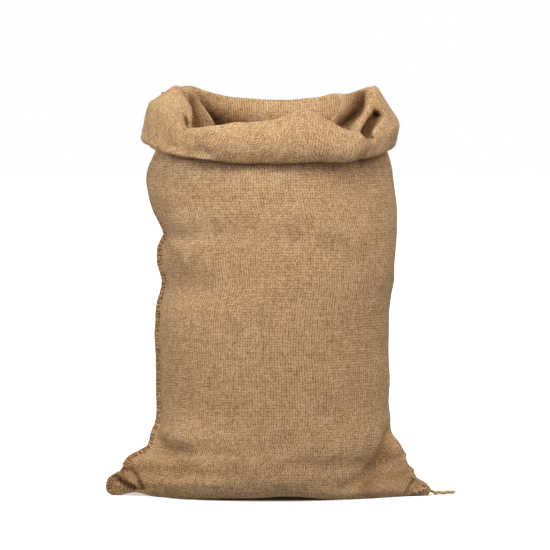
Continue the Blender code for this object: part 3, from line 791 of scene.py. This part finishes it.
def weave_material():
    """Plain-woven jute: uneven yarns both ways, thick places, open gaps and dark specks; painted
    shade darkens the colour between the yarns and, by ambient occlusion, in hollows, and the painted
    light and shade on the points darkens or lightens it along the listed lines.
    """
    s = Nodes(bpy.data.materials.new("hessian weave"))
    place = s.add("UVMap", uv_map="weave").outputs[0]
    split = s.add("SeparateXYZ", {"Vector": place})
    u, v = split.outputs[0], split.outputs[1]
    patch = s.noise(place, 9.0, 2.0)
    warp, round_warp, tone_warp = yarn_set(s, u, v, patch, *WARP)
    weft, round_weft, tone_weft = yarn_set(s, v, u, patch, *WEFT)
    over = s.calc("MODULO", s.calc("ADD", warp, weft), 2.0)

    cell = s.add("TexWhiteNoise", {"Vector": s.vector(warp, weft)}, noise_dimensions="2D").outputs
    tones = s.line(over, 0.10, s.mix(over, tone_warp, tone_weft))
    tones = s.line(cell["Value"], 0.25, s.line(patch, 0.08, tones))
    colour = s.blend(s.ramp(tones, 0.36, 1.06), DARK_YARN, LIGHT_YARN)
    hue = s.noise(s.vector(s.times(warp, 0.9), s.times(weft, 0.9), 5.0))
    colour = s.blend(s.ramp(hue, 0.45, 0.75, 0.0, 0.35), colour, RED_YARN)
    speck = s.noise(s.vector(s.times(u, 420.0), s.times(v, 420.0), 2.0))
    colour = s.blend(s.ramp(speck, 0.735, 0.79), colour, SPECK)

    # painted shade between and under the yarns, where they curve down and where the open weave shows
    # the dark inside
    depth = s.add("SeparateColor", {"Color": cell["Color"]}).outputs
    line_warp = s.ramp(round_warp, 0.0, 0.6, s.line(depth[0], *WARP_GAP_SHADE), 1.0)
    line_weft = s.ramp(round_weft, 0.0, 0.6, s.line(depth[1], *WEFT_GAP_SHADE), 1.0)
    most = s.calc("MAXIMUM", round_warp, round_weft)
    painted_gap_shade = s.times(s.times(line_warp, line_weft), s.ramp(most, 0.0, 0.5, 0.20, 1.0))
    colour = s.blend(1.0, colour, s.warm(painted_gap_shade, 1.12, 1.28), "MULTIPLY")
    # painted shade: ambient occlusion darkens the colour in hollows and folds, and the painted light
    # and shade on the points darkens or lightens it further
    painted_shade_share = s.add("AmbientOcclusion", {"Distance": SHADE_PAINT_REACH}, samples=8).outputs["AO"]
    painted_by_place = s.add("Attribute", attribute_name="painted_light_and_shade").outputs["Fac"]
    painted_shade_share = s.times(s.ramp(painted_shade_share, 0.15, 0.78, 0.40, 1.0), painted_by_place)
    colour = s.blend(1.0, colour, s.warm(painted_shade_share, 1.25, 1.60), "MULTIPLY")
    s.put(s.shader.inputs["Base Color"], colour)

    top = s.mix(over, round_warp, round_weft)
    under = s.mix(over, round_weft, round_warp)
    height = s.times(s.calc("SQRT", top), s.line(under, 0.4, 0.6))
    bump = s.add("Bump", {"Strength": 0.8, "Distance": 0.0007, "Height": height})
    s.put(s.shader.inputs["Normal"], bump.outputs[0])
    s.shader.inputs["Roughness"].default_value = 0.9
    s.shader.inputs["Sheen Weight"].default_value = 0.08
    s.shader.inputs["Sheen Tint"].default_value = (1.0, 0.85, 0.62, 1)
    s.shader.inputs["Sheen Roughness"].default_value = 0.5
    s.shader.inputs["Specular IOR Level"].default_value = 0.2
    return s.owner


def thread_material(name, light, dark):
    """Twisted jute sewing thread."""
    s = Nodes(bpy.data.materials.new(name))
    s.shader.inputs["Roughness"].default_value = 0.85
    place = s.add("TexCoord").outputs["Object"]
    tones = s.ramp(s.noise(place, 260.0, 3.0, 0.6), 0.35, 0.65)
    s.put(s.shader.inputs["Base Color"], s.blend(tones, (*dark, 1), (*light, 1)))
    rough = s.noise(place, 1500.0, 2.0)
    bump = s.add("Bump", {"Strength": 0.6, "Distance": 0.0003, "Height": rough})
    s.put(s.shader.inputs["Normal"], bump.outputs[0])
    s.shader.inputs["Specular IOR Level"].default_value = 0.2
    return s.owner


# ======== pieces ========
def show(name, mesh, material):
    piece = bpy.data.objects.new(name, mesh)
    bpy.context.scene.collection.objects.link(piece)
    mesh.materials.append(material)
    return piece


def show_tubes(name, paths, radius, sides, material):
    """A piece of thin round tubes along these paths."""
    vertices, faces = [], []
    angles = 2 * math.pi * np.arange(sides)[:, None] / sides
    for path in paths:
        index = len(vertices) + np.arange(len(path) * sides).reshape(-1, sides)
        faces += [*cells(index).reshape(-1, 4).tolist(), index[0, ::-1].tolist(), index[-1].tolist()]
        guide = np.array([0.31, 0.52, 0.79])
        for point, tangent in zip(path, unit(np.gradient(path, axis=0))):
            guide = unit(guide - tangent * guide.dot(tangent))
            ring = guide * np.cos(angles) + np.cross(tangent, guide) * np.sin(angles)
            vertices.extend(point + radius * ring)
    mesh = bpy.data.meshes.new(name)
    mesh.from_pydata(vertices, [], faces)
    mesh.shade_smooth()
    return show(name, mesh, material)


def make_cloth():
    """The sack, with its sides and shares of the round for the stitches and fibres."""
    u = round_shares()
    rows = cloth_rows(u, fine_heights())
    lengths = path_lengths(rows, WEAVE_LEVEL)
    rows = wave_cloth(rows, grid_normals(rows), u, lengths)
    normals = grid_normals(rows)
    near = 1 - smooth(0.0, SEAM_STRAIGHT, np.minimum(u, 1 - u) * CLOTH_ROUND)[:, None]
    inner = rows - unit(normals * (1 - near) + normals[:, :1] * near) * WALL
    outer = add_seam_edge(rows, normals, u)
    cloth = show("sack_cloth", shell_mesh("sack_cloth", outer, inner, u, lengths), weave_material())
    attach(cloth, "root")
    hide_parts("sack")
    return cloth, outer, inner, u


def side_shape(outer, row, share):
    """The point this share of the way over the overlocked edge at a row, and the way out there."""
    foot = SEAM_COLUMNS.index(STITCH_FOOT) + 1
    at = np.arange(foot, -foot - 1, -1)
    low = int(row)
    ring = outer[low, at] * (1 - row + low) + outer[low + 1, at] * (row - low)
    place = share * (len(at) - 1)
    k = min(int(place), len(at) - 2)
    step = ring[k + 1] - ring[k]
    upward = outer[low + 1, 0] - outer[low, 0]
    return ring[k] + step * (place - k), -unit(np.cross(upward, step))


def make_stitches(outer, inner, u):
    """The overlock round the left edge, the chain across the right ear's flap, and the knot."""
    rng = np.random.default_rng(5)
    top = np.argmax(outer[:, 0, 2])
    edge = outer[BASE_ROWS:top, 0]
    run = np.concatenate([[0], np.cumsum(np.linalg.norm(np.diff(edge, axis=0), axis=1))])
    start, end = np.interp(STITCH_FIN, edge[:, 2], run)
    path = []
    for k in range(int((end - start) / STITCH_PITCH) * STITCH_POINTS):
        loops = k / STITCH_POINTS
        along = start + STITCH_PITCH * (loops + 0.25 * math.sin(1.7 * loops))
        reach = 0.42 + 0.05 * math.sin(2.3 * loops) + 0.03 * math.sin(5.1 * loops)
        row = BASE_ROWS + float(np.interp(along, run, np.arange(len(run))))
        point, out = side_shape(outer, row, 0.5 + reach * math.sin(2 * math.pi * k / STITCH_POINTS))
        path.append(point + out * STITCH_RADIUS * 0.6)
    path = np.array(path) + rng.normal(0, 0.00010, (len(path), 3))
    path[:, 2] = np.maximum(path[:, 2], STITCH_RADIUS + OVER_FLOOR)
    brown = thread_material("overlock thread", (0.27, 0.14, 0.073), (0.10, 0.050, 0.027))
    overlock = show_tubes("overlock_thread", [path], STITCH_RADIUS, 6, brown)

    front = outer[BASE_ROWS : BASE_ROWS + 40, u <= 0.5].reshape(-1, 3)
    chain = []
    for x, z in CHAIN:
        near = front[np.argmin(np.hypot(front[:, 0] - x, front[:, 2] - z))]
        chain.append((x, near[1] - CHAIN_RADIUS, z))
    keys = np.arange(len(chain), dtype=float)
    chain = spline(keys, np.array(chain), np.linspace(0, keys[-1], 80))
    straw = thread_material("chain thread", (0.85, 0.58, 0.33), (0.42, 0.24, 0.12))
    links = show_tubes("corner_thread", [chain], CHAIN_RADIUS, 6, straw)

    turns = np.linspace(0, 4 * math.pi, 30)
    knot = np.stack([np.cos(turns), np.sin(turns), 0.4 * np.sin(1.5 * turns)], axis=1) * KNOT_RADIUS
    knot += inner[top + TURN_ROWS // 2 + 5, 3] + np.array([0, 0, 0.0008])
    tie = show_tubes("thread_knot", [knot], KNOT_THREAD, 6, brown)
    for piece in (overlock, links, tie):
        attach(piece, "root")


def make_fibres(outer, inner, u):
    """Loose fibres off the cloth, more of them at the mouth and the cuff's foot."""
    rng = np.random.default_rng(3)
    top = int(np.argmax(outer[:, 0, 2]))
    last = len(outer) - 1
    kinds = [  # side of the cloth, first row, end of the rows, share of the fibres
        (outer, BASE_ROWS + 6, top, 0.35),
        (inner, top, last, 0.30),
        (inner, last - 9, last, 0.15),
        (inner, top - 4, top + 6, 0.20),
    ]
    paths = []
    for side, low, high, share in kinds:
        other = outer if side is inner else inner
        for _ in range(int(FIBRES * share)):
            j, i = rng.integers(low, high), rng.integers(0, len(u))
            out = unit(side[j, i] - other[j, i])
            aim = rng.normal(0, 1, 3)
            aim = unit(aim - out * aim.dot(out))
            length = rng.uniform(*FIBRE_LENGTH)
            bend = rng.uniform(0.2, 1.2)
            t = np.linspace(0, 1, 5)[:, None]
            path = aim * t + out * (bend * t * (1.15 - t)) + rng.normal(0, 0.25, 3) * t * t
            path = side[j, i] + length * path
            path[:, 2] = np.maximum(path[:, 2], FIBRE_FLOOR)
            paths.append(path)
    straw = thread_material("loose fibre", (0.78, 0.60, 0.38), (0.50, 0.34, 0.19))
    fuzz = show_tubes("loose_fibres", paths, FIBRE_RADIUS, 3, straw)
    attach(fuzz, "root")


def make_tail():
    """The thread tail: strands twisted round the solid's own route."""
    keys = np.arange(len(TAIL_ROUTE), dtype=float)
    line = spline(keys, TAIL_ROUTE, np.linspace(0, keys[-1], 90))
    line[:, 1:] += TAIL_WAVE * np.sin(np.linspace(0, 2 * math.pi * TAIL_WAVES, len(line)))[:, None]
    line[:, 2] = np.maximum(line[:, 2], TAIL_RADIUS + OVER_FLOOR)
    tangents = unit(np.gradient(line, axis=0))
    side = unit(np.cross(tangents, [0, 0, 1.0]))
    top = np.cross(side, tangents)
    line[:, 2] += TAIL_LIFT
    turns = np.linspace(0, 2 * math.pi * TAIL_TWISTS, len(line))[:, None]
    swell = 1 + 0.12 * np.sin(1.6 * turns)
    strands = []
    for k in range(3):
        a = turns + 2 * math.pi * k / 3
        strand = line + TAIL_LAY * swell * (side * np.cos(a) + top * np.sin(a))
        strand[:, 2] = np.maximum(strand[:, 2], TAIL_STRAND + OVER_FLOOR)
        strands.append(strand)
    material = thread_material("tail thread", (0.80, 0.55, 0.31), (0.46, 0.27, 0.13))
    tail = show_tubes("thread_end", strands, TAIL_STRAND, 8, material)
    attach(tail, "root")
    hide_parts("thread_tail")

    rng = np.random.default_rng(4)
    wisps = []
    for _ in range(WISPS):
        reach = rng.normal((0.0022, 0.0008, 0.0004), (0.0008, 0.0012, 0.0008))
        wisp = line[-1] + rng.normal(0, 0.0005, 3) + np.linspace(-1, 1, 5)[:, None] * reach
        wisp[:, 2] = np.maximum(wisp[:, 2], FIBRE_FLOOR)
        wisps.append(wisp)
    fray = show_tubes("thread_fray", wisps, WISP_RADIUS, 4, material)
    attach(fray, "root")


def stage_piece(name, mesh, colour, near_glow, far_glow):
    """A plain thing round the object that throws no light on it; its own glow is weaker close to the
    object, and a painted shadow, from ambient occlusion, darkens it next to the sack.
    """
    s = Nodes(bpy.data.materials.new(name))
    s.shader.inputs["Roughness"].default_value = 0.9
    s.shader.inputs["Specular IOR Level"].default_value = 0.0
    s.shader.inputs["Emission Color"].default_value = (1, 1, 1, 1)
    place = s.add("TexCoord").outputs["Object"]
    away = s.add("VectorMath", {0: place}, operation="LENGTH").outputs["Value"]
    glow = s.ramp(away, *GLOW_RANGE, near_glow, far_glow)
    # painted shadow: ambient occlusion darkens the floor's glow and colour next to the sack, but not
    # past the left ear
    painted_shade_share = s.add("AmbientOcclusion", {"Distance": SHADOW_REACH}, samples=16).outputs["AO"]
    left_ear = s.ramp(s.add("SeparateXYZ", {"Vector": place}).outputs[0], *NO_SHADOW, 1.0, 0.0)
    painted_shade_share = s.calc("MAXIMUM", s.ramp(painted_shade_share, 0.30, 0.78), left_ear)
    s.put(s.shader.inputs["Emission Strength"], s.times(glow, painted_shade_share))
    s.put(s.shader.inputs["Base Color"], s.blend(painted_shade_share, SHADOW, (*colour, 1)))
    piece = show(name, mesh, s.owner)
    piece.visible_diffuse = False
    piece.visible_glossy = False
    piece.visible_shadow = False
    return piece


def make_stage():
    """A white floor and surround, a soft sky that is brighter above, and the lamps."""
    floor = bpy.data.meshes.new("floor")
    corners = [(x * STAGE_REACH, y * STAGE_REACH, 0) for x, y in ((-1, -1), (1, -1), (1, 1), (-1, 1))]
    floor.from_pydata(corners, [], [(0, 1, 2, 3)])
    stage_piece("floor", floor, (0.9, 0.9, 0.9), 0.50, 1.0).location.z = -0.0003

    wall = bpy.data.meshes.new("surround")
    sides = 48
    ring = [2 * math.pi * k / sides for k in range(sides)]
    ends = (-STAGE_REACH, STAGE_REACH)
    points = [(STAGE_REACH * math.cos(a), STAGE_REACH * math.sin(a), z) for z in ends for a in ring]
    faces = [(k, (k + 1) % sides, (k + 1) % sides + sides, k + sides) for k in range(sides)]
    wall.from_pydata(points, [], faces)
    stage_piece("surround", wall, (0, 0, 0), 1.0, 1.0)

    s = Nodes(bpy.data.worlds.new("studio"), "Background")
    up = s.add("SeparateXYZ", {0: s.add("TexCoord").outputs["Generated"]}).outputs[2]
    s.put(s.shader.inputs["Strength"], s.ramp(up, -0.3, 1.0, *SKY, "LINEAR"))
    s.shader.inputs["Color"].default_value = (1, 1, 1, 1)
    bpy.context.scene.world = s.owner
    bpy.context.scene.view_settings.view_transform = "Standard"

    for name, place, aim, size, watts in LAMPS:
        light = bpy.data.lights.new(name, "AREA")
        light.size = size
        light.energy = watts
        lamp = bpy.data.objects.new(name, light)
        lamp.location = place
        ahead = Vector((0, 0, aim)) - Vector(place)
        lamp.rotation_euler = ahead.to_track_quat("-Z", "Y").to_euler()
        bpy.context.scene.collection.objects.link(lamp)


def make_camera():
    """The photograph's view: from in front, level with the mouth, looking slightly down."""
    lens = bpy.data.cameras.new("view")
    lens.sensor_width = 36.0
    lens.lens = LENS
    camera = bpy.data.objects.new("view", lens)
    camera.location = EYE
    camera.rotation_euler = (math.radians(90 - LOOK_DOWN), 0, 0)
    bpy.context.scene.collection.objects.link(camera)
    bpy.context.scene.camera = camera


make_camera()
make_tail()
cloth, outer, inner, u = make_cloth()
make_stitches(outer, inner, u)
make_fibres(outer, inner, u)
make_stage()
